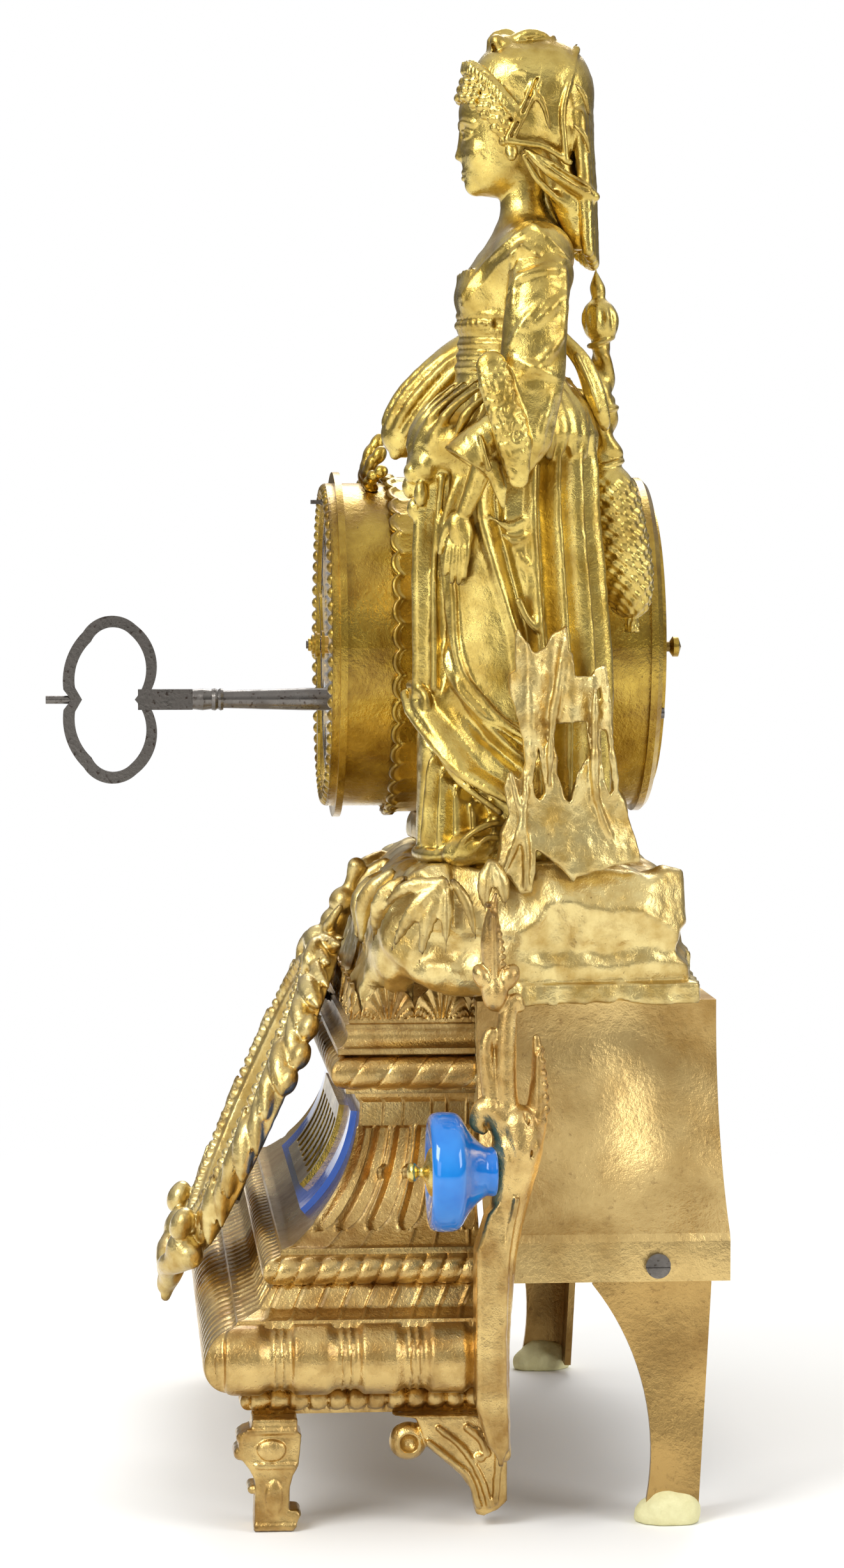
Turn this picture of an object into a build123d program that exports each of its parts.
from build123d import *
import math
import os

# Sizes in millimetres. X runs to the right of someone facing the dial, Y from dial to back, Z up.
# Every depth is counted backwards from the front face of the dial bezel.

# The origin lies on the floor, midway between the tip of the key and the back of the base cover
KEY_REACH = 85.0
BACK_REACH = 102.0
FACE_Y = (KEY_REACH - BACK_REACH) / 2

# Clearances
RUNNING = 0.06
SLIDING = 0.05
APART = 0.4

# Cast base: mouldings counted outwards from the neck
NECK_HALF = 73.0
NECK_DEPTH = 3.0
BASE_REAR = 35.0
APRON_Z = 31.0
BEAD_Z = 35.2
BEAD_R = 2.8
BEAD_OUT = 32.0
PLINTH_Z = 47.0
PLINTH_R = 9.0
PLINTH_OUT = 35.7
ROPE_Z = 69.0
ROPE_R = 3.6
ROPE_OUT = 24.5
COVE_BOTTOM_Z = 75.0
COVE_TOP_Z = 112.0
COVE_OUT = 20.4
CORNICE_Z = 120.8
CORNICE_R = 4.5
CORNICE_OUT = 4.0
BASE_TOP_Z = 136.0
CREST_Z = 143.0
CREST_THICK = 2.0
WALL = 4.0
FLANGE = 14.0

# Porcelain panel and pierced mount in the front cove
PANEL_HALF = 62.0
PANEL_THICK = 1.8
MOUNT_HALF = 36.0
MOUNT_THICK = 1.6
MOUNT_SLOTS = 7

# Sheet cover behind the base, with its legs
COVER_SHEET = 1.5
COVER_TOP_Z = 141.0
COVER_TOP_HALF = 82.0
COVER_FLARE = 37.0
COVER_FOOT_Z = 67.0
COVER_CREASE_Z = 78.0
LEG_SHEET = 2.0
LEG_FRONT = 64.4
LEG_BACK = 97.0
LEG_FLANGE = 14.0
LEFT_LEG_SHIFT = 12.0
LEG_SCREW_DEPTH = 82.0
LEG_SCREW_Z = 71.5
SCREW_HEAD_R = 3.4
SCREW_SHANK_R = 1.5
PAD_HEIGHT = 9.0
LEG_END_Z = 3.0

# Feet, scroll brackets and ears
FOOT_INSET = 12.0
FOOT_WIDTH = 14.0
BRACKET_WIDTH = 10.0
EAR_WIDTH = 16.0
EAR_SEAT = 37.0
ROSETTE_Z = 99.0
ROSETTE_R = 16.0
ROSETTE_FRONT = 18.5

# Inclined plaque frame
FRAME_TILT = 24.1
FRAME_FOOT_DEPTH = -49.5
FRAME_FOOT_Z = 48.0
FRAME_LENGTH = 134.0
FRAME_HALF = 46.0
FRAME_THICK = 5.0
PLAQUE_HALF = 30.8
PLAQUE_HALF_TALL = 39.8
PLAQUE_THICK = 3.0
STUD_R = 1.35
STUD_PITCH = 1.0
STUD_LENGTH = 24.0
STUD_AT = 98.0
NUT_R = 3.2

# Rock, cradle under the drum, torn stump
MOUND_TOP_Z = 180.0
CAVITY_ROOF = 14.0
SLOT_HALF = 14.0
SLOT_FRONT = 45.0
SLOT_BACK = 57.0
CRADLE_HALF = 34.0
CRADLE_RISE = 27.0
CRADLE_FRONT = 26.0
CRADLE_BACK = 84.0
STUMP_IN = 91.5
STUMP_OUT = 96.5

# Figure
FIGURE_X = 68.0
STAFF_DEPTH = 82.0
STAFF_LEAN = 6.0
BOLT_R = 2.5
FIGURE_BOLT_DEPTH = 46.0
MOUND_BOLT_X = 60.0

# Drum
DRUM_X = -15.0
DRUM_RISE = 58.0
DRUM_R = 48.2
DRUM_WALL = 1.7
DRUM_FRONT = 2.0
DRUM_BACK = 90.0
BAND_R = 50.0
BAND_FRONT = 17.0
BAND_BACK = 60.0
BAND_SCALLOPS = 36
BEZEL_R = 51.5
BEZEL_RAISE = 1.5
BEAD_RING_R = 46.3
BEAD_RING_HALF = 1.9
DIAL_R = 44.0
DIAL_FRONT = -1.0
DIAL_BACK = 1.0
REAR_RING_R = 50.0
REAR_RING_IN = 42.0
REAR_RING_BACK = 93.5
DOOR_R = 43.0
DOOR_THICK = 1.4
HINGE_OUT = 2.5
HINGE_STAND = 1.1
HINGE_R = 1.7
HINGE_PIN_R = 0.7
KNUCKLE_HALF = 4.0
HINGE_HALF = 9.0

# Movement
PLATE_R = 41.0
PLATE_THICK = 2.2
FRONT_PLATE = 8.0
BACK_PLATE = 40.2
PILLAR_R = 3.0
PILLAR_AT = 36.0
PILLAR_ANGLES = (15, 60, 120, 165, 270)
BARREL_X = 20.0
BARREL_DROP = 15.6
BARREL_R = 17.0
GREAT_TEETH = 72
TRAIN_MODULE = 0.5
SECOND_LEAVES = 10
SECOND_TEETH = 56
CENTRE_LEAVES = 12
CENTRE_TEETH = 60
THIRD_LEAVES = 10
THIRD_ANGLE = 130.0
THIRD_TEETH = 50
THIRD_MODULE = 0.4
ESCAPE_LEAVES = 10
ESCAPE_TEETH = 30
ESCAPE_R = 8.0
ANCHOR_RISE = 32.0
CANNON_LEAVES = 12
MINUTE_TEETH = 36
MOTION_MODULE = 0.6
MINUTE_ANGLE = 150.0
MINUTE_LEAVES = 10
HOUR_TEETH = 40
CENTRE_ARBOR_R = 1.2
CANNON_R = 1.9
HOUR_PIPE_R = 2.7
SQUARE = 4.4
RATCHET_R = 9.0
RATCHET_TEETH = 24
REGULATOR_RISE = 42.6
REGULATOR_R = 0.9
PENDULUM_DEPTH = 50.0
BOB_DROP = 91.0
BOB_R = 13.0
BELL_R = 34.0
BELL_FRONT = 60.0
BELL_BACK = 76.5
HAMMER_X = 10.0
HAMMER_RISE = 36.5
HAMMER_HEAD_X = 30.0
HAMMER_HEAD_RISE = 25.0
HAMMER_HEAD_R = 3.0
STRAP_ANGLES = (-25, 205)
STRAP_IN = 44.6
STRAP_OUT = 46.2
STRAP_WIDTH = 8.0
HOUR_HAND = 26.0
MINUTE_HAND = 39.0
HAND_THICK = 0.8

# Key
KEY_TUBE_R = 3.3
KEY_MOUTH = 4.4
KEY_SOCKET = 14.0
KEY_WIRE_R = 1.7

# Sizes that follow from those above
COVER_FOOT_HALF = NECK_HALF + COVER_FLARE
FOOT_IN = COVER_FOOT_HALF - FOOT_INSET
FOOT_OUT = FOOT_IN + FOOT_WIDTH
EAR_IN = COVER_FOOT_HALF
EAR_OUT = EAR_IN + EAR_WIDTH
BRACKET_IN = EAR_IN - BRACKET_WIDTH
ROSETTE_X = (EAR_IN + EAR_OUT) / 2
CAVITY_TOP_Z = MOUND_TOP_Z - CAVITY_ROOF
CRADLE_TOP_Z = MOUND_TOP_Z + CRADLE_RISE
DRUM_Z = MOUND_TOP_Z + DRUM_RISE
HINGE_X = -REAR_RING_R - HINGE_OUT
HINGE_DEPTH = REAR_RING_BACK + HINGE_STAND
MOUND_BOLT_DEPTH = NECK_DEPTH + WALL + 4.6
COVE_RADIUS = (COVE_OUT**2 + (COVE_TOP_Z - COVE_BOTTOM_Z)**2) / (2 * COVE_OUT)
DRUM_BORE = DRUM_R - DRUM_WALL
BARREL_SPAN = math.hypot(BARREL_X, BARREL_DROP)
GREAT_SPAN = TRAIN_MODULE * (GREAT_TEETH + SECOND_LEAVES) / 2
SECOND_SPAN = TRAIN_MODULE * (SECOND_TEETH + CENTRE_LEAVES) / 2
SECOND_SHARE = (GREAT_SPAN**2 - SECOND_SPAN**2 + BARREL_SPAN**2) / (2 * BARREL_SPAN)
SECOND_OFF = math.sqrt(GREAT_SPAN**2 - SECOND_SHARE**2)
SECOND_X = BARREL_X - (BARREL_X * SECOND_SHARE - BARREL_DROP * SECOND_OFF) / BARREL_SPAN
SECOND_RISE = -BARREL_DROP + (BARREL_DROP * SECOND_SHARE + BARREL_X * SECOND_OFF) / BARREL_SPAN
THIRD_SPAN = TRAIN_MODULE * (CENTRE_TEETH + THIRD_LEAVES) / 2
THIRD_X = THIRD_SPAN * math.cos(math.radians(THIRD_ANGLE))
THIRD_RISE = THIRD_SPAN * math.sin(math.radians(THIRD_ANGLE))
ESCAPE_SPAN = THIRD_MODULE * (THIRD_TEETH + ESCAPE_LEAVES) / 2
ESCAPE_RISE = THIRD_RISE + math.sqrt(ESCAPE_SPAN**2 - THIRD_X**2)
MINUTE_SPAN = MOTION_MODULE * (CANNON_LEAVES + MINUTE_TEETH) / 2
MINUTE_X = MINUTE_SPAN * math.cos(math.radians(MINUTE_ANGLE))
MINUTE_RISE = MINUTE_SPAN * math.sin(math.radians(MINUTE_ANGLE))
HOUR_MODULE = 2 * MINUTE_SPAN / (MINUTE_LEAVES + HOUR_TEETH)
FRAME_BACK_DEPTH = FRAME_FOOT_DEPTH + FRAME_THICK / math.cos(math.radians(FRAME_TILT))
CLICK_PIVOT = (11.5, 6.5)


# Small helpers that place and shape material
def outline(start, steps):
    """A flat face: a pair is a straight step, a pair of pairs an arc through the first."""
    edges = []
    last = start
    for step in steps:
        if isinstance(step[0], tuple):
            edges.append(ThreePointArc(last, step[0], step[1]))
            last = step[1]
        else:
            edges.append(Line(last, step))
            last = step
    edges.append(Line(last, start))
    return make_face(edges)


def across(face, x0, x1):
    """A face drawn as depth and height, thick from x0 to x1."""
    side = Plane((x0, FACE_Y, 0), x_dir=(0, 1, 0), z_dir=(1, 0, 0))
    return extrude(side * face, amount=x1 - x0)


def through(face, d0, d1):
    """A face drawn as x and z, thick from depth d0 to d1."""
    front = Plane((0, FACE_Y + d0, 0), x_dir=(1, 0, 0), z_dir=(0, -1, 0))
    return extrude(front * face, amount=d0 - d1)


def turned(*points):
    """A round piece about a line along Y, from radius and depth pairs."""
    profile = [(r, FACE_Y + d) for r, d in points]
    return revolve(make_face(Polyline(*profile, close=True)), Axis.Y)


def rod(radius, d0, d1):
    return turned((0, d0), (radius, d0), (radius, d1), (0, d1))


def tube(inner, outer, d0, d1):
    return turned((inner, d0), (outer, d0), (outer, d1), (inner, d1))


def block(x0, x1, d0, d1, z0, z1):
    size = Box(x1 - x0, d1 - d0, z1 - z0)
    return Pos((x0 + x1) / 2, FACE_Y + (d0 + d1) / 2, (z0 + z1) / 2) * size


def at_drum(shape, x=0.0, rise=0.0):
    """Moves a piece made about the Y axis to its place in the movement."""
    return Pos(DRUM_X + x, 0, DRUM_Z + rise) * shape


def both_sides(shape):
    return [shape, mirror(shape, about=Plane.YZ)]


def gear(teeth, module, d0, d1, towards=0.0, leaf=False):
    """A toothed disc with a tooth (or, on a pinion, a gap) facing the angle given."""
    pitch = module * teeth / 2
    step = 2 * math.pi / teeth
    tip, root = pitch + 0.75 * module, pitch - 1.2 * module
    wide = (0.18, 0.17, 0.09) if leaf else (0.23, 0.20, 0.08)
    start = math.radians(towards) + (step / 2 if leaf else 0)
    points = []
    for i in range(teeth):
        for radius, share in ((root, -wide[0]), (pitch, -wide[1]), (tip, -wide[2]),
                              (tip, wide[2]), (pitch, wide[1]), (root, wide[0])):
            angle = start + step * (i + share)
            points.append((radius * math.cos(angle), radius * math.sin(angle)))
    return through(make_face(Polyline(*points, close=True)), d0, d1)


def saw_wheel(teeth, tip, root, d0, d1):
    """A wheel with pointed teeth, each with one steep side."""
    points = []
    for i in range(teeth):
        for radius, share in ((root, 0.0), (tip, 0.12), (root, 0.85)):
            angle = 2 * math.pi * (i + share) / teeth
            points.append((radius * math.cos(angle), radius * math.sin(angle)))
    return through(make_face(Polyline(*points, close=True)), d0, d1)


def limb(points, radii):
    """A rounded arm through points given as x, depth, height."""
    places = [Vector(x, FACE_Y + d, z) for x, d, z in points]
    sections = []
    for i, place in enumerate(places):
        before = places[max(i - 1, 0)]
        after = places[min(i + 1, len(places) - 1)]
        sections.append(Plane(place, z_dir=after - before) * Circle(radii[i]))
    return loft(sections)


def stack(x, rows):
    """A body through level ellipses: height, depth of centre, half depth, half width."""
    return loft([Pos(x, FACE_Y + d, z) * Ellipse(hw, hd) for z, d, hd, hw in rows], ruled=True)


# Base
def base_casting():
    arc = COVE_RADIUS
    lean = math.asin((COVE_TOP_Z - COVE_BOTTOM_Z) / arc) / 2
    cove_mid = (arc - arc * math.cos(lean), COVE_TOP_Z - arc * math.sin(lean))
    inside_mid = (cove_mid[0] - WALL, cove_mid[1] - WALL)
    profile = outline((-FLANGE, BASE_TOP_Z), [
        (CREST_THICK - 1.0, BASE_TOP_Z),
        (CREST_THICK - 1.0, CREST_Z),
        (1.0 + CREST_THICK / 2, CREST_Z),
        (1.0 + CREST_THICK, BASE_TOP_Z - 3),
        (CORNICE_OUT, CORNICE_Z + CORNICE_R),
        ((CORNICE_OUT + CORNICE_R, CORNICE_Z), (CORNICE_OUT, CORNICE_Z - CORNICE_R)),
        (2, COVE_TOP_Z + 2.8),
        (0, COVE_TOP_Z + 2.8),
        (0, COVE_TOP_Z),
        (cove_mid, (COVE_OUT, COVE_BOTTOM_Z)),
        (ROPE_OUT, ROPE_Z + ROPE_R),
        ((ROPE_OUT + ROPE_R, ROPE_Z), (ROPE_OUT, ROPE_Z - ROPE_R)),
        (BEAD_OUT - 3, PLINTH_Z + PLINTH_R + 3),
        (PLINTH_OUT, PLINTH_Z + PLINTH_R),
        ((PLINTH_OUT + PLINTH_R, PLINTH_Z), (PLINTH_OUT, PLINTH_Z - PLINTH_R)),
        (BEAD_OUT, BEAD_Z + BEAD_R),
        ((BEAD_OUT + BEAD_R, BEAD_Z), (BEAD_OUT, BEAD_Z - BEAD_R)),
        (BEAD_OUT - 1, APRON_Z),
        (BEAD_OUT - WALL, APRON_Z),
        (BEAD_OUT - WALL, PLINTH_Z + PLINTH_R - 1),
        (COVE_OUT - 1, ROPE_Z - ROPE_R - 3),
        (COVE_OUT - WALL, COVE_BOTTOM_Z - WALL),
        (inside_mid, (-WALL, COVE_TOP_Z - WALL)),
        (-WALL, BASE_TOP_Z - WALL - 1),
        (-FLANGE, BASE_TOP_Z - WALL - 1),
    ])
    rear = FACE_Y + BASE_REAR
    front = FACE_Y + NECK_DEPTH
    path = Polyline((-NECK_HALF, rear, 0), (-NECK_HALF, front, 0), (NECK_HALF, front, 0),
        (NECK_HALF, rear, 0))
    plane = Plane((-NECK_HALF, rear, 0), x_dir=(-1, 0, 0), z_dir=(0, 1, 0))
    body = sweep(plane * profile, path=path, transition=Transition.RIGHT)
    for hole in mound_bolt_places(SLIDING):
        body -= hole
    return body - frame_axis(STUD_R + SLIDING, -1, STUD_LENGTH + 6)


def cove_strip(half, outer, inner, high, low):
    """A strip bent to the front cove, between two distances from its surface."""
    lean_top = math.asin((COVE_TOP_Z - high) / COVE_RADIUS)
    lean_low = math.asin((COVE_TOP_Z - low) / COVE_RADIUS)
    centre = NECK_DEPTH - COVE_RADIUS

    def spot(out, lean):
        radius = COVE_RADIUS - out
        return (centre + radius * math.cos(lean), COVE_TOP_Z - radius * math.sin(lean))

    middle = (lean_top + lean_low) / 2
    face = outline(spot(inner, lean_top), [
        (spot(inner, middle), spot(inner, lean_low)),
        spot(outer, lean_low),
        (spot(outer, middle), spot(outer, lean_top)),
    ])
    return across(face, -half, half)


def cove_panel():
    return cove_strip(PANEL_HALF, PANEL_THICK, 0, COVE_TOP_Z - 4, COVE_BOTTOM_Z + 4)


def cove_mount():
    strip = cove_strip(MOUNT_HALF, PANEL_THICK + MOUNT_THICK, PANEL_THICK, COVE_TOP_Z - 6,
        COVE_BOTTOM_Z + 6)
    step = 2 * MOUNT_HALF / MOUNT_SLOTS
    for i in range(MOUNT_SLOTS):
        x = -MOUNT_HALF + step * (i + 0.5)
        strip -= block(x - step / 4, x + step / 4, -40, 20, COVE_BOTTOM_Z + 11, COVE_TOP_Z - 10)
    return strip


def back_cover():
    def half_profile(t):
        return [
            (COVER_TOP_HALF - t, COVER_TOP_Z - t),
            ((COVER_TOP_HALF + 6.5 - t, 107.5 - t / 2), (COVER_FOOT_HALF - 1 - t, COVER_CREASE_Z + 2)),
            (COVER_FOOT_HALF - t, COVER_CREASE_Z),
            (COVER_FOOT_HALF - t, COVER_FOOT_Z),
            (0, COVER_FOOT_Z),
        ]
    outer = through(outline((0, COVER_TOP_Z), half_profile(0)), BASE_REAR, BACK_REACH)
    t = COVER_SHEET
    inner = through(outline((0, COVER_TOP_Z - t), half_profile(t)), BASE_REAR, BACK_REACH - t)
    half = outer - inner
    half -= block(-1, 56, BASE_REAR + 9, BACK_REACH - 12, COVER_TOP_Z - 5, COVER_TOP_Z + 5)
    shell = half + mirror(half, about=Plane.YZ)
    for hole in leg_screw_places(SLIDING):
        shell -= hole
    return shell


def leg_screw_places(extra):
    """The shanks of the two leg screws, widened by the clearance given."""
    shank = Cylinder(SCREW_SHANK_R + extra, 8)
    right = Rot(0, 90, 0) * shank
    x = COVER_FOOT_HALF - 3.0
    places = []
    for side, depth in ((1, LEG_SCREW_DEPTH), (-1, LEG_SCREW_DEPTH - LEFT_LEG_SHIFT)):
        places.append(Pos(side * x, FACE_Y + depth, LEG_SCREW_Z) * right)
    return places


def leg_screws():
    screws = []
    shanks = leg_screw_places(0)
    for side, shank in zip((1, -1), shanks):
        depth = LEG_SCREW_DEPTH - (0 if side > 0 else LEFT_LEG_SHIFT)
        head = Rot(0, 90, 0) * Cylinder(SCREW_HEAD_R, 1.8)
        slot = Box(1.2, 2 * SCREW_HEAD_R + 1, 1.0)
        head = head - Pos(side * 0.9, 0, 0) * slot
        x = side * (COVER_FOOT_HALF + 0.9)
        keep = block(-COVER_FOOT_HALF, COVER_FOOT_HALF, 0, BACK_REACH, 0, 200)
        screws.append((shank & keep) + Pos(x, FACE_Y + depth, LEG_SCREW_Z) * head)
    return screws


def rear_legs():
    top = COVER_CREASE_Z - 1.5
    bottom = COVER_FOOT_Z - 1
    outer = COVER_FOOT_HALF - COVER_SHEET
    web = across(outline((LEG_FRONT, top), [
        (LEG_BACK, top), (LEG_BACK, bottom), (LEG_BACK - 3.4, LEG_END_Z), (LEG_BACK - 18.4, LEG_END_Z),
        ((LEG_BACK - 20.5, 44), (LEG_FRONT, bottom)),
    ]), outer - LEG_SHEET, outer)
    flange = across(outline((LEG_BACK - 2, top), [
        (LEG_BACK, top), (LEG_BACK, bottom), (LEG_BACK - 3.4, LEG_END_Z), (LEG_BACK - 5.4, LEG_END_Z),
        (LEG_BACK - 2, bottom),
    ]), outer - LEG_FLANGE, outer - LEG_SHEET)
    right = web + flange
    left = Pos(0, -LEFT_LEG_SHIFT, 0) * mirror(right, about=Plane.YZ)
    holes = leg_screw_places(SLIDING)
    return [right - holes[0], left - holes[1]]


def leg_pads():
    outer = COVER_FOOT_HALF - COVER_SHEET
    lump = across(outline((LEG_BACK - 21, 0), [
        (LEG_BACK - 1.5, 0), (LEG_BACK - 1, 5), (LEG_BACK - 3, PAD_HEIGHT),
        (LEG_BACK - 12, PAD_HEIGHT + 1),
        (LEG_BACK - 20, 6),
    ]), outer - 8, outer + 3)
    legs = rear_legs()
    left = Pos(0, -LEFT_LEG_SHIFT, 0) * mirror(lump, about=Plane.YZ)
    return [lump - legs[0], left - legs[1]]


def front_feet():
    foot = across(outline((-31, APRON_Z), [
        (-16, APRON_Z), (-16, 22), ((-18.3, 16), (-18.5, 10)), (-18.5, 4), (-15, 3), (-15, 0), (-29, 0),
        (-29, 3), (-27, 8), ((-27.6, 15), (-31.5, 19)), (-33, 25),
    ]), FOOT_IN, FOOT_OUT)
    return both_sides(foot)


def scroll_brackets():
    face = outline((9, APRON_Z), [
        (41, APRON_Z), (41, 5), (39, 3), (33, 3), ((27.5, 10.5), (19.5, 20.5)),
        ((13.5, 16.6), (8.6, 22)),
    ])
    face -= Pos(14, 23) * Circle(2)
    return both_sides(across(face, BRACKET_IN, EAR_IN))


def scroll_ears():
    strap = outline((31, 6), [
        (40, 6), (41, 38), (41.2, 72), (42.7, 89), ((47.5, 104), (49, 116)), (49.5, 131), (48.5, 148),
        (46, 153.5), (45, 140), (42.5, 126), (42.7, 143), (40.5, 160), (36.5, 174), (35.2, 158),
        (37, 140),
        (36, 126), ((31, 123), (32, 116)), ((34, 112), (EAR_SEAT, 111)), (EAR_SEAT, 86), (BASE_REAR, 72),
        (BASE_REAR, 36), (34, 20),
    ])
    return both_sides(across(strap, EAR_IN, EAR_OUT))


def rosettes():
    f = ROSETTE_FRONT
    r = ROSETTE_R
    piece = turned((0, f), (6, f), (r - 3, f + 1.6), (r - 0.7, f + 3.8), (r, f + 6), (r - 0.9, f + 8.6),
                   (r - 3.5, f + 11), (8, f + 12), (5.5, f + 14), (5.0, EAR_SEAT - 2), (6, EAR_SEAT),
                   (0, EAR_SEAT))
    return both_sides(Pos(ROSETTE_X, 0, ROSETTE_Z) * piece)


def rosette_knobs():
    f = ROSETTE_FRONT
    piece = turned((0, f), (5, f), (5, f - 0.8), (2.2, f - 1.6), (1.8, f - 2.2), (2.8, f - 3.2),
        (3.1, f - 4.2),
                   (2.4, f - 5.3), (0, f - 5.8))
    return both_sides(Pos(ROSETTE_X, 0, ROSETTE_Z) * piece)


# Plaque frame, drawn flat and then leaned against the plinth
def on_frame(face, near, far):
    """A face drawn across and up the frame, thick between two distances behind its front."""
    lean = math.radians(FRAME_TILT)
    back = Vector(0, math.cos(lean), -math.sin(lean))
    origin = Vector(0, FACE_Y + FRAME_FOOT_DEPTH, FRAME_FOOT_Z) + back * near
    plane = Plane(origin, x_dir=(1, 0, 0), z_dir=-back)
    return extrude(plane * face, amount=near - far)


def frame_axis(radius, start, length):
    """A round rod square to the frame's back, at the stud's place."""
    lean = math.radians(FRAME_TILT)
    back = Vector(0, math.cos(lean), -math.sin(lean))
    up = Vector(0, math.sin(lean), math.cos(lean))
    origin = Vector(0, FACE_Y + FRAME_FOOT_DEPTH, FRAME_FOOT_Z) + up * STUD_AT + back * (FRAME_THICK + start)
    return extrude(Plane(origin, x_dir=(1, 0, 0), z_dir=back) * Circle(radius), amount=length)


def plaque_frame():
    middle = FRAME_LENGTH / 2 - 3
    tall = FRAME_LENGTH / 2 - 14
    rim = Pos(0, middle) * Ellipse(FRAME_HALF, tall)
    finial = outline((-14, middle + tall - 6), [
        (-7, middle + tall + 4), (-4, middle + tall + 9), (-5, FRAME_LENGTH - 3), (0, FRAME_LENGTH),
        (5, FRAME_LENGTH - 3), (4, middle + tall + 9), (7, middle + tall + 4), (14, middle + tall - 6),
    ])
    tip = outline((-20, middle - tall + 6), [(-12, 4), (0, 0), (12, 4), (20, middle - tall + 6)])
    seat = Pos(0, middle) * Ellipse(PLAQUE_HALF, PLAQUE_HALF_TALL)
    sight = Pos(0, middle) * Ellipse(PLAQUE_HALF - 2.5, PLAQUE_HALF_TALL - 2.5)
    lip = FRAME_THICK - PLAQUE_THICK
    body = on_frame(rim + finial + tip, 0, FRAME_THICK)
    body -= on_frame(sight, -1, FRAME_THICK + 1)
    body -= on_frame(seat, lip, FRAME_THICK + 1)
    return body - base_casting()


def front_plaque():
    middle = FRAME_LENGTH / 2 - 3
    face = Pos(0, middle) * Ellipse(PLAQUE_HALF, PLAQUE_HALF_TALL)
    return on_frame(face, FRAME_THICK - PLAQUE_THICK, FRAME_THICK)


def plaque_clips():
    middle = FRAME_LENGTH / 2 - 3
    clips = []
    for angle in (40, 140, 220, 320):
        a = math.radians(angle)
        spot = Pos(PLAQUE_HALF * math.cos(a), middle + PLAQUE_HALF_TALL * math.sin(a))
        bar = spot * Rot(0, 0, angle) * Rectangle(12, 1.6)
        clips.append(on_frame(bar, FRAME_THICK, FRAME_THICK + 1.4))
    return clips


def frame_stud():
    lean = FRAME_TILT
    count = int(STUD_LENGTH / STUD_PITCH)
    points = [(0, 0)]
    for i in range(count):
        points += [(STUD_R - 0.3, i * STUD_PITCH), (STUD_R, (i + 0.5) * STUD_PITCH)]
    points += [(STUD_R - 0.3, count * STUD_PITCH), (0, count * STUD_PITCH)]
    screw = revolve(make_face(Polyline(*points, close=True)), Axis.Y)
    a = math.radians(lean)
    at = STUD_AT
    thick = FRAME_THICK
    depth = FRAME_FOOT_DEPTH + at * math.sin(a) + thick * math.cos(a)
    height = FRAME_FOOT_Z + at * math.cos(a) - thick * math.sin(a)
    return Pos(0, FACE_Y + depth, height) * Rot(-lean, 0, 0) * screw


# Rock and what stands on it
MOUND_FOOT = ((-68, 3.2), (0, 3.2), (68, 3.2), (71, 12), (71, 45), (76, 92), (40, 97), (-40, 97),
    (-76, 92),
              (-71, 45), (-71, 12))
MOUND_WAIST = ((-70, 6), (0, 7.5), (72, 6), (86, 14), (97, 45), (92, 92), (45, 98), (-45, 98), (-85, 92),
               (-80, 45), (-78, 14))
MOUND_SHOULDER = ((-62, 12), (0, 10.5), (66, 8), (90, 18), (99, 45), (92, 88), (45, 96), (-45, 96),
    (-80, 88),
                  (-76, 45), (-72, 18))
MOUND_CROWN = ((-44, 24), (0, 20), (52, 14), (86, 18), (97.5, 45), (90, 76), (40, 88), (-40, 88),
    (-62, 74),
               (-60, 45), (-56, 28))


MOUND_LEDGE = ((88, 38), (97, 46), (93.5, 92), (46, 98.5), (-46, 98.5), (-86, 92), (-81, 46), (-76, 38))


def mound_bolt_places(extra):
    bolt = Cylinder(2.0 + extra, 24)
    z = BASE_TOP_Z - WALL - 3 + 12
    return [Pos(s * MOUND_BOLT_X, FACE_Y + MOUND_BOLT_DEPTH, z) * bolt for s in (1, -1)]


def figure_bolt_place(extra, length):
    return Pos(FIGURE_X, FACE_Y + FIGURE_BOLT_DEPTH,
        CAVITY_TOP_Z - 6 + length / 2) * Cylinder(BOLT_R + extra, length)


def rock_mound():
    clear = CREST_Z + 0.6
    rise = MOUND_TOP_Z - clear
    levels = []
    for height, points in ((BASE_TOP_Z, MOUND_FOOT), (clear, MOUND_FOOT),
        (clear + 0.2 * rise, MOUND_WAIST),
                           (clear + 0.64 * rise, MOUND_SHOULDER), (MOUND_TOP_Z, MOUND_CROWN)):
        ring = Polyline(*[(x, FACE_Y + d) for x, d in points], close=True)
        levels.append(Pos(0, 0, height) * make_face(ring))
    body = loft(levels, ruled=True)
    foot = make_face(Polyline(*[(x, FACE_Y + d, COVER_TOP_Z) for x, d in MOUND_LEDGE], close=True))
    body += extrude(foot, amount=0.26 * rise, dir=(0, 0, 1))
    body -= block(-120, 120, BASE_REAR - 2, 120, BASE_TOP_Z - 5, COVER_TOP_Z)
    body -= block(-58, 82, 18, 86, BASE_TOP_Z - 5, CAVITY_TOP_Z)
    body -= block(DRUM_X - SLOT_HALF, DRUM_X + SLOT_HALF, SLOT_FRONT, SLOT_BACK, CAVITY_TOP_Z - 1,
        MOUND_TOP_Z + 1)
    for hole in mound_bolt_places(SLIDING):
        body -= hole
    return body - figure_bolt_place(SLIDING, 40)


def case_bolts():
    bolts = []
    for bolt, side in zip(mound_bolt_places(0), (1, -1)):
        under = BASE_TOP_Z - WALL - 1
        head = Cylinder(4.0, 3.0)
        bolts.append(bolt + Pos(side * MOUND_BOLT_X, FACE_Y + MOUND_BOLT_DEPTH, under - 1.5) * head)
    nut = RegularPolygon(4.6, 6)
    place = Pos(FIGURE_X, FACE_Y + FIGURE_BOLT_DEPTH, CAVITY_TOP_Z - 4)
    bolts.append(figure_bolt_place(0, 32) + extrude(place * nut, amount=4))
    return bolts


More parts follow.
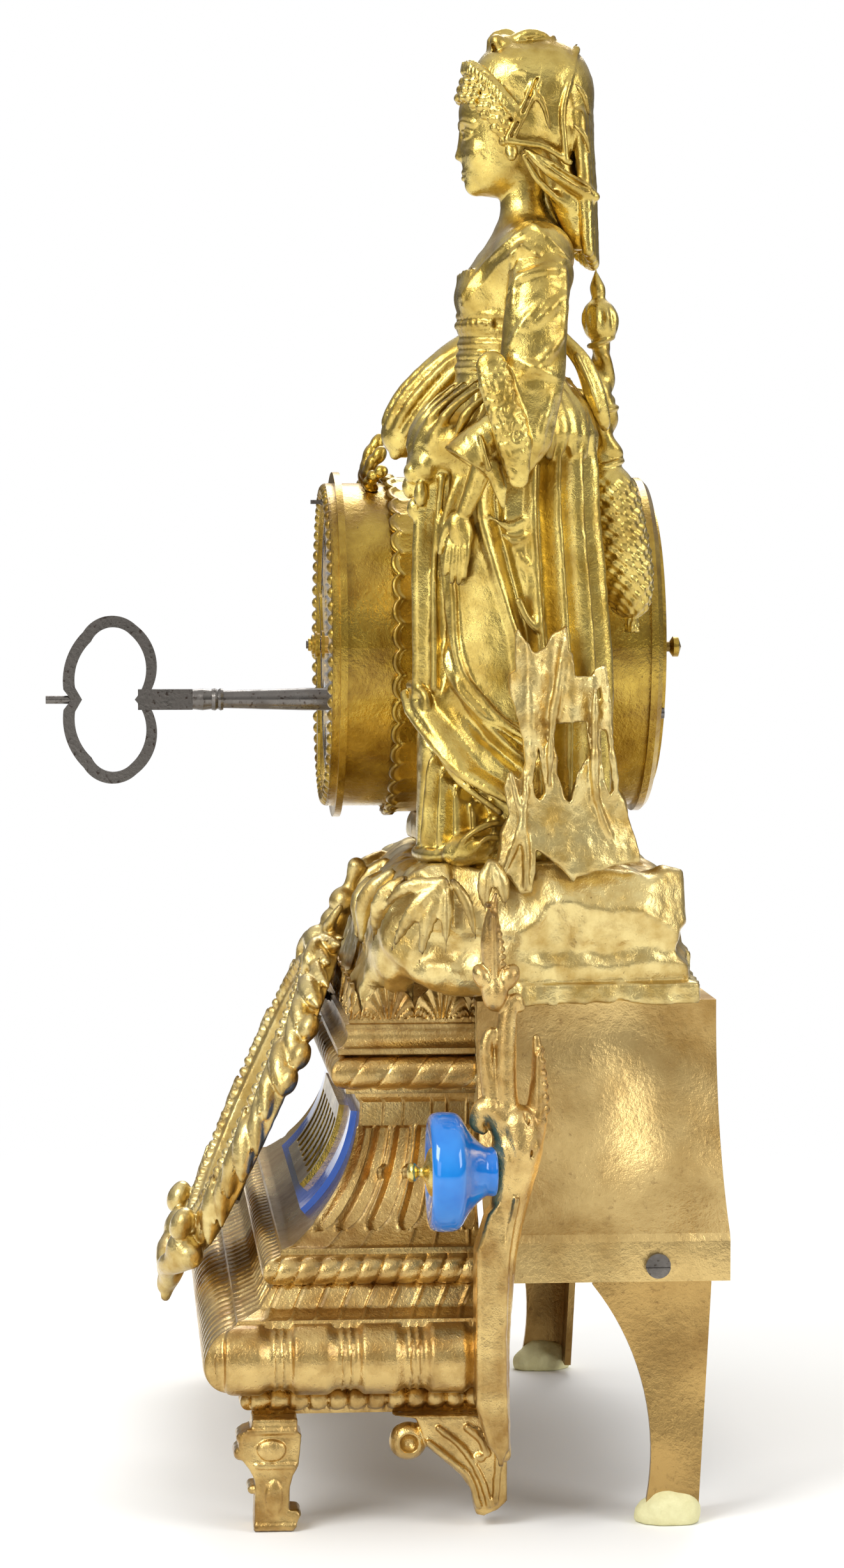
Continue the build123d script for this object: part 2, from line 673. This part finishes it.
def drum_saddle():
    body = block(DRUM_X - CRADLE_HALF, DRUM_X + CRADLE_HALF, CRADLE_FRONT, CRADLE_BACK, MOUND_TOP_Z,
        CRADLE_TOP_Z)
    body -= at_drum(rod(BAND_R, CRADLE_FRONT - 1, CRADLE_BACK + 1))
    body -= block(DRUM_X - SLOT_HALF, DRUM_X + SLOT_HALF, SLOT_FRONT, SLOT_BACK, MOUND_TOP_Z - 1,
        CRADLE_TOP_Z)
    return body


def tree_stump():
    foot = MOUND_TOP_Z
    face = outline((40, foot), [
        (72, foot), (80, foot + 10), (77, foot + 22), (84, foot + 32), (76, foot + 42), (72, foot + 58),
        (66, foot + 50), (60, foot + 69), (54, foot + 56), (49, foot + 65), (46, foot + 50),
        (41, foot + 34),
        (44, foot + 20), (39.5, foot + 10),
    ])
    face -= Pos(59, foot + 26) * Circle(4.5)
    face -= Pos(68, foot + 38) * Circle(3)
    return across(face, STUMP_IN, STUMP_OUT)


SKIRT_ROWS = ((0, 45, 25.2, 20), (46, 46, 26.6, 19.5), (78, 44.5, 26, 19), (108, 44.2, 24, 17.8),
              (120, 46, 20.5, 16.6))
SKIRT_FADE = (1, 1, 1, 0.6, 0)
# bearing of a fold at the hem and at the hip (0 is the front), and how far it stands out
SKIRT_FOLDS = ((6, 8, -0.6), (18, 22, 2.4), (28, 36, -2.4), (46, 50, 1.2), (68, 64, 1.4), (104, 77, -2.2),
               (110, 106, 2.0), (121, 119, -3.2), (129, 128, 2.2), (137, 137, -2.4), (147, 147, 2.4),
               (157, 157, -2.6), (167, 167, 2.4), (182, 182, -2.8), (196, 198, 2.6), (212, 214, -2.8),
               (234, 232, 2.6), (254, 250, -3.0), (276, 268, 2.8), (300, 288, -2.8), (318, 306, 2.4),
               (338, 330, -2.2), (354, 350, 0.6))
BORDER_LINE = ((47, 4), (36, 32), (26, 52), (20, 74), (16, 92))
BODICE_ROWS = ((112, 45, 22, 17), (120, 46, 20.5, 16.6), (128, 46.4, 18, 15.6), (136, 45.2, 14.8, 13.6),
               (146, 44.6, 13.4, 12.6), (158, 44.6, 15.4, 14.2), (166, 48.6, 14.2, 18.4), (171, 50.3, 11.6, 17),
               (176, 50.5, 9, 12), (186, 48.5, 5.4, 5.4))
HEAD_ROWS = ((183, 44, 7, 7), (192, 46, 13, 11), (204, 48.5, 17.5, 13.5), (216, 50, 16.5, 13),
             (225, 51, 11, 9), (230, 51.5, 4, 4))
NEAR_ARM = (((16, 54, 166), 8), ((22, 51.5, 153), 9), ((23, 49.5, 140), 8.5), ((22.5, 46, 129), 8),
            ((22, 39, 117), 6.2), ((21, 33, 108), 5.2), ((20, 30.5, 98), 3.2), ((19.5, 28, 80), 2.2))
FAR_ARM = (((-14, 50, 164), 8), ((-17, 44, 154), 8.8), ((-22, 36, 145), 8.6), ((-25, 27, 137), 8.4),
           ((-27, 18, 125), 8), ((-26, 14, 115), 3))


def figure_rows(rows):
    return stack(FIGURE_X, [(MOUND_TOP_Z + z, d, hd, hw) for z, d, hd, hw in rows])


def skirt_place(height, bearing, lift):
    """A place on the skirt: its height, its bearing and how far it stands out."""
    upper = next(i for i, row in enumerate(SKIRT_ROWS) if row[0] >= height and i > 0)
    low, high = SKIRT_ROWS[upper - 1], SKIRT_ROWS[upper]
    share = (height - low[0]) / (high[0] - low[0])
    centre, deep, wide = [low[k] + share * (high[k] - low[k]) for k in (1, 2, 3)]
    c, s = math.cos(math.radians(bearing)), math.sin(math.radians(bearing))
    reach = 1 / math.hypot(c / deep, s / wide) + lift
    return FIGURE_X + reach * s, centre - reach * c, MOUND_TOP_Z + height


def robe_form():
    levels = []
    for row, fade in zip(SKIRT_ROWS, SKIRT_FADE):
        share = row[0] / SKIRT_ROWS[-1][0]
        ring = [skirt_place(row[0], hem + share * (hip - hem), fade * out) for hem, hip, out in SKIRT_FOLDS]
        levels.append(make_face(Polyline(*[(x, FACE_Y + d, z) for x, d, z in ring], close=True)))
    border = limb([skirt_place(z, bearing, 0.6) for z, bearing in BORDER_LINE], [2.4, 3.4, 3.6, 3.2, 1.6])
    return loft(levels, ruled=True) + figure_rows(BODICE_ROWS) + border


ROBE = robe_form()


def figure_body():
    return ROBE - figure_bolt_place(SLIDING, 36)


def figure_head():
    return figure_rows(HEAD_ROWS) - ROBE


def figure_arm(rows):
    points = [(FIGURE_X + x, d, MOUND_TOP_Z + z) for (x, d, z), r in rows]
    arm = limb(points, [r for p, r in rows]) - ROBE
    return max(arm.solids(), key=lambda solid: solid.volume)


def distaff():
    points = [(0, 0), (3, 0), (5.5, 6), (7.2, 14), (7.6, 25), (6.4, 38), (3.6, 43), (3.2, 60), (2.6, 76),
              (4.4, 80), (4.8, 84), (4, 88), (1.8, 90), (1.5, 92), (0, 98)]
    turn = revolve(make_face(Polyline(*[(r, 0, z) for r, z in points], close=True)), Axis.Z)
    placed = Pos(FIGURE_X - 8, FACE_Y + STAFF_DEPTH, MOUND_TOP_Z + 67) * Rot(STAFF_LEAN, 0, 0) * turn
    tie_z = MOUND_TOP_Z + 129
    tie = limb([(FIGURE_X - 4, 58, tie_z + 2), (FIGURE_X - 6, 68, tie_z), (FIGURE_X - 8, 76, tie_z - 1)],
               [2.2, 2.2, 2])
    piece = placed + tie - ROBE
    return max(piece.solids(), key=lambda solid: solid.volume)


# Drum
def pendulum_slot(z0, z1):
    return block(DRUM_X - SLOT_HALF, DRUM_X + SLOT_HALF, SLOT_FRONT, SLOT_BACK, z0, z1)


def drum_case():
    shell = at_drum(tube(DRUM_BORE, DRUM_R, DRUM_FRONT, DRUM_BACK))
    return shell - pendulum_slot(DRUM_Z - BAND_R - 1, DRUM_Z - 30)


def drum_band():
    band = tube(DRUM_R, BAND_R, BAND_FRONT, BAND_BACK)
    radius = math.pi * BAND_R / BAND_SCALLOPS
    notches = []
    for i in range(BAND_SCALLOPS):
        cutter = Pos(BAND_R, FACE_Y + BAND_FRONT - 0.25 * radius, 0) * Rot(0, 90,
            0) * Cylinder(radius * 0.62, 8)
        notches.append(Rot(0, 360 / BAND_SCALLOPS * i, 0) * cutter)
    return at_drum(band - notches) - pendulum_slot(DRUM_Z - BAND_R - 1, DRUM_Z - 30)


def drum_crest():
    r = DRUM_R
    face = outline((-16, r - 4), [(-12, r + 4), (-5, r + 8), (0, r + 13), (5, r + 8), (12, r + 4),
        (16, r - 4)])
    return at_drum(through(face, 8, 15) - rod(DRUM_R, 0, 30))


def front_bezel():
    lip = DIAL_R - 2
    seat = DIAL_R + 0.3
    ring = turned((lip, DIAL_BACK), (seat, DIAL_BACK), (seat, -BEZEL_RAISE), (DRUM_R, -BEZEL_RAISE),
        (DRUM_R, 0),
                  (BEZEL_R, 0), (BEZEL_R, DRUM_FRONT), (lip, DRUM_FRONT))
    for angle in STRAP_ANGLES:
        strap = block(STRAP_IN, STRAP_OUT, DRUM_FRONT, DRUM_BACK, -STRAP_WIDTH / 2, STRAP_WIDTH / 2)
        ring += Rot(0, -angle, 0) * strap
        ring -= Rot(0, -angle, 0) * strap_screw_hole(SLIDING)
    ring -= Pos(0, 0, REGULATOR_RISE) * rod(REGULATOR_R + 0.3, 0, DRUM_FRONT + 1)
    return at_drum(ring)


def strap_screw_hole(extra):
    return Pos((STRAP_IN + STRAP_OUT) / 2, 0, 0) * rod(0.6 + extra, DRUM_BACK - 5, REAR_RING_BACK + 1)


def bezel_beads():
    r = BEAD_RING_R
    h = BEAD_RING_HALF
    base = FACE_Y - BEZEL_RAISE
    face = outline((r - h, base), [((r, base - h), (r + h, base))])
    return at_drum(revolve(face, Axis.Y))


def rear_bezel():
    ring = turned((REAR_RING_IN, DRUM_BACK), (REAR_RING_R, DRUM_BACK), (REAR_RING_R, DRUM_BACK + 2),
                  (REAR_RING_R - 1.5, REAR_RING_BACK), (REAR_RING_IN, REAR_RING_BACK))
    for angle in STRAP_ANGLES:
        ring -= Rot(0, -angle, 0) * strap_screw_hole(SLIDING)
    gap = KNUCKLE_HALF + APART
    for z0, z1 in ((gap, HINGE_HALF), (-HINGE_HALF, -gap)):
        lug = block(HINGE_X, -REAR_RING_R + 3, DRUM_BACK, REAR_RING_BACK, z0, z1)
        barrel = Pos(HINGE_X, FACE_Y + HINGE_DEPTH, (z0 + z1) / 2) * Cylinder(HINGE_R, z1 - z0)
        ring += lug - rod(REAR_RING_R - 2, 80, 100)
        ring += barrel
    pin = Pos(HINGE_X, FACE_Y + HINGE_DEPTH, 0) * Cylinder(HINGE_PIN_R, 2 * HINGE_HALF + 2)
    return at_drum(ring + pin)


def strap_screws():
    screws = []
    for angle in STRAP_ANGLES:
        shank = Pos((STRAP_IN + STRAP_OUT) / 2, 0, 0) * rod(0.6, DRUM_BACK - 4, REAR_RING_BACK)
        head = Pos((STRAP_IN + STRAP_OUT) / 2, 0, 0) * rod(1.6, REAR_RING_BACK, REAR_RING_BACK + 1.2)
        screws.append(at_drum(Rot(0, -angle, 0) * (shank + head)))
    return screws


def rear_door():
    front = REAR_RING_BACK + 0.3
    back = front + DOOR_THICK
    disc = turned((0, front), (DOOR_R, front), (DOOR_R, back), (DOOR_R - 4, back),
        (DOOR_R - 6, back + 0.8), (0, back + 2))
    leaf = block(HINGE_X, -DOOR_R + 2, front, back, -KNUCKLE_HALF, KNUCKLE_HALF)
    barrel = Pos(HINGE_X, FACE_Y + HINGE_DEPTH, 0) * Cylinder(HINGE_R, 2 * KNUCKLE_HALF)
    bore = Pos(HINGE_X, FACE_Y + HINGE_DEPTH, 0) * Cylinder(HINGE_PIN_R + RUNNING, 2 * KNUCKLE_HALF + 2)
    knob = Pos(DOOR_R - 9, 0, 0) * turned((0, back), (1.5, back), (1.5, back + 2), (3, back + 3),
        (3, back + 4.5), (0, back + 5.5))
    return at_drum(disc + leaf + barrel - bore + knob)


# Dial and hands
def dial():
    disc = turned((0, DIAL_FRONT), (DIAL_R, DIAL_FRONT), (DIAL_R, DIAL_BACK), (0, DIAL_BACK))
    disc -= rod(HOUR_PIPE_R + APART, -5, 5)
    for side in (1, -1):
        disc -= Pos(side * BARREL_X, 0, -BARREL_DROP) * rod(KEY_TUBE_R + 1.0, -5, 5)
    disc -= Pos(0, 0, REGULATOR_RISE) * rod(REGULATOR_R + RUNNING, -5, 5)
    for x, z in dial_foot_places():
        disc += Pos(x, 0, z) * rod(1.0, DIAL_BACK, FRONT_PLATE + PLATE_THICK)
    return at_drum(disc)


def dial_foot_places():
    return ((27, 18.9), (-27, 18.9), (0, -30))


def hand(length, bore, ring, tail, d0, angle):
    """A pointed hand: a ring, a slim blade with a small swelling, a short tail."""
    face = Polyline((-0.8, 0), (-1.2, length * 0.55), (-2.2, length * 0.68), (-0.9, length * 0.8),
        (0, length),
                    (0.9, length * 0.8), (2.2, length * 0.68), (1.2, length * 0.55), (0.8, 0),
                    (0, -tail), close=True)
    plate = make_face(face) + Circle(ring) - Circle(bore)
    return at_drum(Rot(0, angle, 0) * through(plate, d0, d0 + HAND_THICK))


def hour_hand():
    return hand(HOUR_HAND, HOUR_PIPE_R, HOUR_PIPE_R + 1.6, 4.6, -3.0, 315)


def minute_hand():
    return hand(MINUTE_HAND, CANNON_R, CANNON_R + 1.6, 4.0, -4.4, 176)


def hand_nut():
    return at_drum(turned((CENTRE_ARBOR_R + RUNNING, -4.4), (4.0, -4.4), (4.0, -5.0), (3.0, -5.2),
        (3.0, -5.9),
                          (2.0, -6.2), (1.9, -7.0), (CENTRE_ARBOR_R + RUNNING, -7.0)))


# Movement
def pivots():
    """Centre, rise and pivot radius of each arbor that runs in both plates."""
    return (
        (0, 0, CENTRE_ARBOR_R, 0.8),
        (SECOND_X, SECOND_RISE, 0.8, 0.8),
        (THIRD_X, THIRD_RISE, 0.6, 0.6),
        (0, ESCAPE_RISE, 0.6, 0.6),
        (0, ANCHOR_RISE, 0.5, 0.9),
        (BARREL_X, -BARREL_DROP, 2.0, 1.5),
        (-BARREL_X, -BARREL_DROP, 2.0, 1.5),
        (HAMMER_X, HAMMER_RISE, 0.7, 1.2),
    )


def movement_front_plate():
    plate = rod(PLATE_R, FRONT_PLATE, FRONT_PLATE + PLATE_THICK)
    for x, z, front, back in pivots():
        plate -= Pos(x, 0, z) * rod(front + RUNNING, FRONT_PLATE - 1, FRONT_PLATE + PLATE_THICK + 1)
    for x, z in dial_foot_places():
        plate -= Pos(x, 0, z) * rod(1.0 + SLIDING, FRONT_PLATE - 1, FRONT_PLATE + PLATE_THICK + 1)
    plate += Pos(MINUTE_X, 0, MINUTE_RISE) * rod(0.85, 2.6, FRONT_PLATE)
    for side in (1, -1):
        x = side * (BARREL_X + CLICK_PIVOT[0])
        plate += Pos(x, 0, -BARREL_DROP + CLICK_PIVOT[1]) * rod(0.9, 5.0, FRONT_PLATE)
    return at_drum(plate)


def movement_back_plate():
    plate = rod(PLATE_R, BACK_PLATE, BACK_PLATE + PLATE_THICK)
    for x, z, front, back in pivots():
        plate -= Pos(x, 0, z) * rod(back + RUNNING, BACK_PLATE - 1, BACK_PLATE + PLATE_THICK + 1)
    for angle in PILLAR_ANGLES:
        a = math.radians(angle)
        pillar = rod(PILLAR_R, FRONT_PLATE + PLATE_THICK, BACK_PLATE)
        plate += Pos(PILLAR_AT * math.cos(a), 0, PILLAR_AT * math.sin(a)) * pillar
    return at_drum(plate)


def barrel(side, drum_front, drum_back, wheel_front, wheel_back):
    towards = math.degrees(math.atan2(SECOND_RISE + BARREL_DROP, SECOND_X - BARREL_X))
    body = rod(BARREL_R, drum_front, drum_back) + gear(GREAT_TEETH, TRAIN_MODULE, wheel_front,
        wheel_back, towards)
    body -= rod(2.5 + RUNNING, drum_front - 5, drum_back + 5)
    return at_drum(body, side * BARREL_X, -BARREL_DROP)


def going_barrel():
    return barrel(1, 13.6, 33.0, 33.0, 35.4)


def strike_barrel():
    return barrel(-1, 13.2, 32.4, 11.0, 13.2)


def winder(side):
    arbor = rod(2.5, 10.6, 39.8) + rod(2.0, 6.8, 10.6) + rod(1.5, 39.8, BACK_PLATE + PLATE_THICK)
    arbor += saw_wheel(RATCHET_TEETH, RATCHET_R, RATCHET_R - 1.1, 5.2, 6.8)
    arbor += block(-SQUARE / 2, SQUARE / 2, -1, 5.2, -SQUARE / 2, SQUARE / 2)
    if side < 0:
        arbor = mirror(arbor, about=Plane.YZ)
    return at_drum(arbor, side * BARREL_X, -BARREL_DROP)


def going_winder():
    return winder(1)


def strike_winder():
    return winder(-1)


def click(side):
    face = outline((11.5, 8.4), [(3, 11.8), (1.5, 10.8), (1.8, 9.3), (3.2, 9.6), (11.5, 5.2)])
    face += Pos(*CLICK_PIVOT) * Circle(2.0)
    face -= Pos(*CLICK_PIVOT) * Circle(0.9 + RUNNING)
    piece = through(face, 5.4, 6.6)
    if side < 0:
        piece = mirror(piece, about=Plane.YZ)
    return at_drum(piece, side * BARREL_X, -BARREL_DROP)


def going_click():
    return click(1)


def strike_click():
    return click(-1)


def centre_arbor():
    body = rod(CENTRE_ARBOR_R, -7.6, 39.8) + rod(0.8, 39.8, BACK_PLATE + PLATE_THICK)
    facing = math.degrees(math.atan2(SECOND_RISE, SECOND_X))
    body += gear(CENTRE_LEAVES, TRAIN_MODULE, 10.7, 13.0, facing, leaf=True)
    body += gear(CENTRE_TEETH, TRAIN_MODULE, 37.4, 38.6, THIRD_ANGLE)
    return at_drum(body)


def second_wheel():
    body = rod(1.0, 10.7, 39.7) + rod(0.8, FRONT_PLATE, 10.7) + rod(0.8, 39.7, BACK_PLATE + PLATE_THICK)
    back = math.degrees(math.atan2(-BARREL_DROP - SECOND_RISE, BARREL_X - SECOND_X))
    body += gear(SECOND_LEAVES, TRAIN_MODULE, 32.6, 35.8, back, leaf=True)
    body += gear(SECOND_TEETH, TRAIN_MODULE, 11.3, 12.4,
        math.degrees(math.atan2(-SECOND_RISE, -SECOND_X)))
    return at_drum(body, SECOND_X, SECOND_RISE)


def third_wheel():
    body = rod(1.0, 10.7, 39.7) + rod(0.6, FRONT_PLATE, 10.7) + rod(0.6, 39.7, BACK_PLATE + PLATE_THICK)
    body += gear(THIRD_LEAVES, TRAIN_MODULE, 36.8, 39.2, THIRD_ANGLE + 180, leaf=True)
    towards = math.degrees(math.atan2(ESCAPE_RISE - THIRD_RISE, -THIRD_X))
    body += gear(THIRD_TEETH, THIRD_MODULE, 22.0, 23.0, towards)
    return at_drum(body, THIRD_X, THIRD_RISE)


def escape_wheel():
    body = rod(0.9, 10.7, 39.7) + rod(0.6, FRONT_PLATE, 10.7) + rod(0.6, 39.7, BACK_PLATE + PLATE_THICK)
    towards = math.degrees(math.atan2(THIRD_RISE - ESCAPE_RISE, THIRD_X))
    body += gear(ESCAPE_LEAVES, THIRD_MODULE, 21.4, 23.6, towards, leaf=True)
    body += saw_wheel(ESCAPE_TEETH, ESCAPE_R, ESCAPE_R - 1.6, 30.0, 30.9)
    return at_drum(body, 0, ESCAPE_RISE)


def anchor():
    reach = ESCAPE_R + 1.2
    drop = ANCHOR_RISE - ESCAPE_RISE
    tip = math.radians(46)
    inner = (reach * math.cos(tip), reach * math.sin(tip) - drop)
    face = outline((-2, 2), [
        (2, 2), (inner[0] + 2.2, inner[1] + 2.4), (inner[0] + 1.6, inner[1]), inner,
        (inner[0] - 0.4, inner[1] + 1.8),
        (0, -1.8), (-inner[0] + 0.4, inner[1] + 1.8), (-inner[0], inner[1]), (-inner[0] - 1.6, inner[1]),
        (-inner[0] - 2.2, inner[1] + 2.4),
    ])
    body = through(face, 29.6, 31.3)
    body += rod(0.9, 10.7, 47.0) + rod(0.5, FRONT_PLATE, 10.7)
    body += block(-0.9, 0.9, 45.4, 47.0, -28, 0)
    body += block(-2.8, 2.8, 45.4, 47.0, -29, -27)
    for side in (1, -1):
        x0, x1 = sorted((side * 1.6, side * 2.8))
        body += block(x0, x1, 45.4, PENDULUM_DEPTH + 1.6, -29, -27)
    return at_drum(body, 0, ANCHOR_RISE)


def pendulum():
    top = ANCHOR_RISE
    body = block(-1.5, 1.5, PENDULUM_DEPTH - 0.15, PENDULUM_DEPTH + 0.15, -top + 20, 1.6)
    body += block(-2.5, 2.5, PENDULUM_DEPTH - 1.2, PENDULUM_DEPTH + 1.2, -top + 16.5, -top + 21)
    rod_top = -top + 17
    rod_end = -top - BOB_DROP - BOB_R - 2.5
    middle = (rod_top + rod_end) / 2
    body += Pos(0, FACE_Y + PENDULUM_DEPTH, middle) * Cylinder(1.0, rod_top - rod_end)
    lens = turned((0, PENDULUM_DEPTH - 4), (5, PENDULUM_DEPTH - 3.8),
        (BOB_R - 1.5, PENDULUM_DEPTH - 1.8), (BOB_R, PENDULUM_DEPTH),
                  (BOB_R - 1.5, PENDULUM_DEPTH + 1.8), (5, PENDULUM_DEPTH + 3.8), (0, PENDULUM_DEPTH + 4))
    body += Pos(0, 0, -top - BOB_DROP) * lens
    body += Pos(0, FACE_Y + PENDULUM_DEPTH, rod_end + 1.2) * Cylinder(2.6, 2.4)
    return at_drum(body, 0, ANCHOR_RISE)


def suspension_cock():
    body = block(-5, 5, BACK_PLATE + PLATE_THICK, PENDULUM_DEPTH + 4, ANCHOR_RISE + 2, ANCHOR_RISE + 13.3)
    bore = Pos(0, 0, REGULATOR_RISE) * rod(REGULATOR_R + RUNNING, BACK_PLATE, PENDULUM_DEPTH - 2)
    return at_drum(body - bore)


def regulator_arbor():
    front = rod(REGULATOR_R, -3.2, PENDULUM_DEPTH - 2.4)
    side = 1.2
    square = block(-side / 2, side / 2, -6.2, -3.2, -side / 2, side / 2)
    return at_drum(front + square, 0, REGULATOR_RISE)


def bell_stand():
    x, z = -28.0, -8.0
    back = BACK_PLATE + PLATE_THICK
    post = Pos(x, 0, z) * rod(2.2, back, 57)
    arm_angle = math.degrees(math.atan2(-z, -x))
    length = math.hypot(x, z)
    bar = through(Pos(x / 2, z / 2) * Rot(0, 0, arm_angle) * Rectangle(length + 4, 5), 54, 57)
    stem = rod(2.0, 54, BELL_BACK) + rod(4.0, 70, BELL_BACK - 1.5) + rod(1.6, BELL_BACK, BELL_BACK + 3)
    return at_drum(post + bar + stem)


def bell():
    f, b, r = BELL_FRONT, BELL_BACK, BELL_R
    cup = turned((r - 1.6, f), (r, f), (r, f + 4), (r - 3, f + 11), (r - 12, b - 1), (2.0, b),
        (2.0, b - 1.5), (5, b - 1.5),
                 (r - 13, b - 2.6), (r - 4.6, f + 10), (r - 1.8, f + 4))
    return at_drum(cup)


def hammer():
    dx = HAMMER_HEAD_X - HAMMER_X
    dz = HAMMER_HEAD_RISE - HAMMER_RISE
    angle = math.degrees(math.atan2(dz, dx))
    length = math.hypot(dx, dz)
    arbor = rod(1.2, 11, 64) + rod(0.7, FRONT_PLATE, 11)
    bar = through(Pos(dx / 2, dz / 2) * Rot(0, 0, angle) * Rectangle(length, 2.2), 62, 64)
    head = Pos(dx, 0, dz) * rod(HAMMER_HEAD_R, 61, 66)
    return at_drum(arbor + bar + head, HAMMER_X, HAMMER_RISE)


def cannon_pinion():
    body = rod(CANNON_R, -4.4, 7.4) + gear(CANNON_LEAVES, MOTION_MODULE, 5.0, 7.0, MINUTE_ANGLE,
        leaf=True)
    return at_drum(body - rod(CENTRE_ARBOR_R + RUNNING, -6, 9))


def hour_wheel():
    body = rod(HOUR_PIPE_R, -3.2, 4.4) + gear(HOUR_TEETH, HOUR_MODULE, 3.2, 4.4, MINUTE_ANGLE)
    return at_drum(body - rod(CANNON_R + RUNNING, -6, 9))


def minute_wheel():
    body = gear(MINUTE_TEETH, MOTION_MODULE, 5.4, 6.4, MINUTE_ANGLE + 180)
    body += gear(MINUTE_LEAVES, HOUR_MODULE, 3.0, 5.4, MINUTE_ANGLE + 180, leaf=True)
    return at_drum(body - rod(0.85 + RUNNING, 0, 9), MINUTE_X, MINUTE_RISE)


# Key, standing on the going square
def winding_key():
    tip = -KEY_REACH
    tube_part = turned((0, KEY_MOUTH), (KEY_TUBE_R, KEY_MOUTH), (KEY_TUBE_R, -9),
        (KEY_TUBE_R - 0.7, -33), (0, -33))
    side = SQUARE + 2 * SLIDING
    socket = block(-side / 2, side / 2, KEY_MOUTH - KEY_SOCKET, KEY_MOUTH + 1, -side / 2, side / 2)
    collar = turned((0, -33), (3.1, -33), (3.3, -33.8), (2.8, -34.6), (3.3, -35.4), (3.1, -36.4),
        (0, -36.4))
    neck = turned((0, -36.4), (2.9, -36.4), (3.2, -39), (2.9, -42), (0, -42))
    flat = block(-1.6, 1.6, -KEY_REACH + 27.0, -42, -3.0, 3.0)
    wire = key_bow()
    pin = turned((0, tip + 9), (1.2, tip + 9), (1.2, tip), (0, tip))
    whole = tube_part - socket + collar + neck + flat + wire + pin
    return at_drum(whole, BARREL_X, -BARREL_DROP)


def key_bow():
    """Two lobes of flat bar meeting in a cusp at each end of the axis."""
    near = -KEY_REACH + 28.0
    r = KEY_WIRE_R
    bar = 2 * r
    half = outline((near + 1, 0), [
        ((near + 4.2, 13), (near - 1.5, 21.8)),
        ((near - 9, 24.6), (near - 17, 19.8)),
        ((near - 22.2, 11), (near - 22.8, 3)),
        (near - 20.5, 0),
    ])
    gap = outline((near - 1.4 * r, -0.5), [
        ((near + 4.2 - bar, 13), (near - 1.5 - r, 21.8 - 0.8 * bar)),
        ((near - 9, 24.6 - bar), (near - 17 + 0.7 * bar, 19.8 - 0.8 * bar)),
        ((near - 22.2 + bar, 10.5), (near - 22.8 + bar, 3.5)),
        (near - 20.5 + bar, -0.5),
    ])
    bow = across(half, -r, r) - across(gap, -r - 1, r + 1)
    return bow + mirror(bow, about=Plane.XY)


PIECES = (
    base_casting, cove_panel, cove_mount, back_cover, leg_screws, rear_legs, leg_pads, front_feet,
    scroll_brackets,
    scroll_ears, rosettes, rosette_knobs, plaque_frame, front_plaque, plaque_clips, frame_stud,
    rock_mound, case_bolts,
    drum_saddle, tree_stump, figure_body, figure_head, distaff, drum_case, drum_band, drum_crest,
    front_bezel,
    bezel_beads, rear_bezel, strap_screws, rear_door, dial, hour_hand, minute_hand, hand_nut,
    movement_front_plate,
    movement_back_plate, going_barrel, strike_barrel, going_winder, strike_winder, going_click,
    strike_click,
    centre_arbor, second_wheel, third_wheel, escape_wheel, anchor, pendulum, suspension_cock,
    regulator_arbor, bell_stand, bell,
    hammer, cannon_pinion, hour_wheel, minute_wheel, winding_key,
)


def save(name, shape):
    if isinstance(shape, list):
        shape = Compound(children=[s.solid() if isinstance(s, Part) else s for s in shape])
    export_step(shape, os.path.join("parts", name + ".step"))


def main():
    os.makedirs("parts", exist_ok=True)
    for piece in PIECES:
        save(piece.__name__, piece())
    save("figure_near_arm", figure_arm(NEAR_ARM))
    save("figure_far_arm", figure_arm(FAR_ARM))


if __name__ == "__main__":
    main()
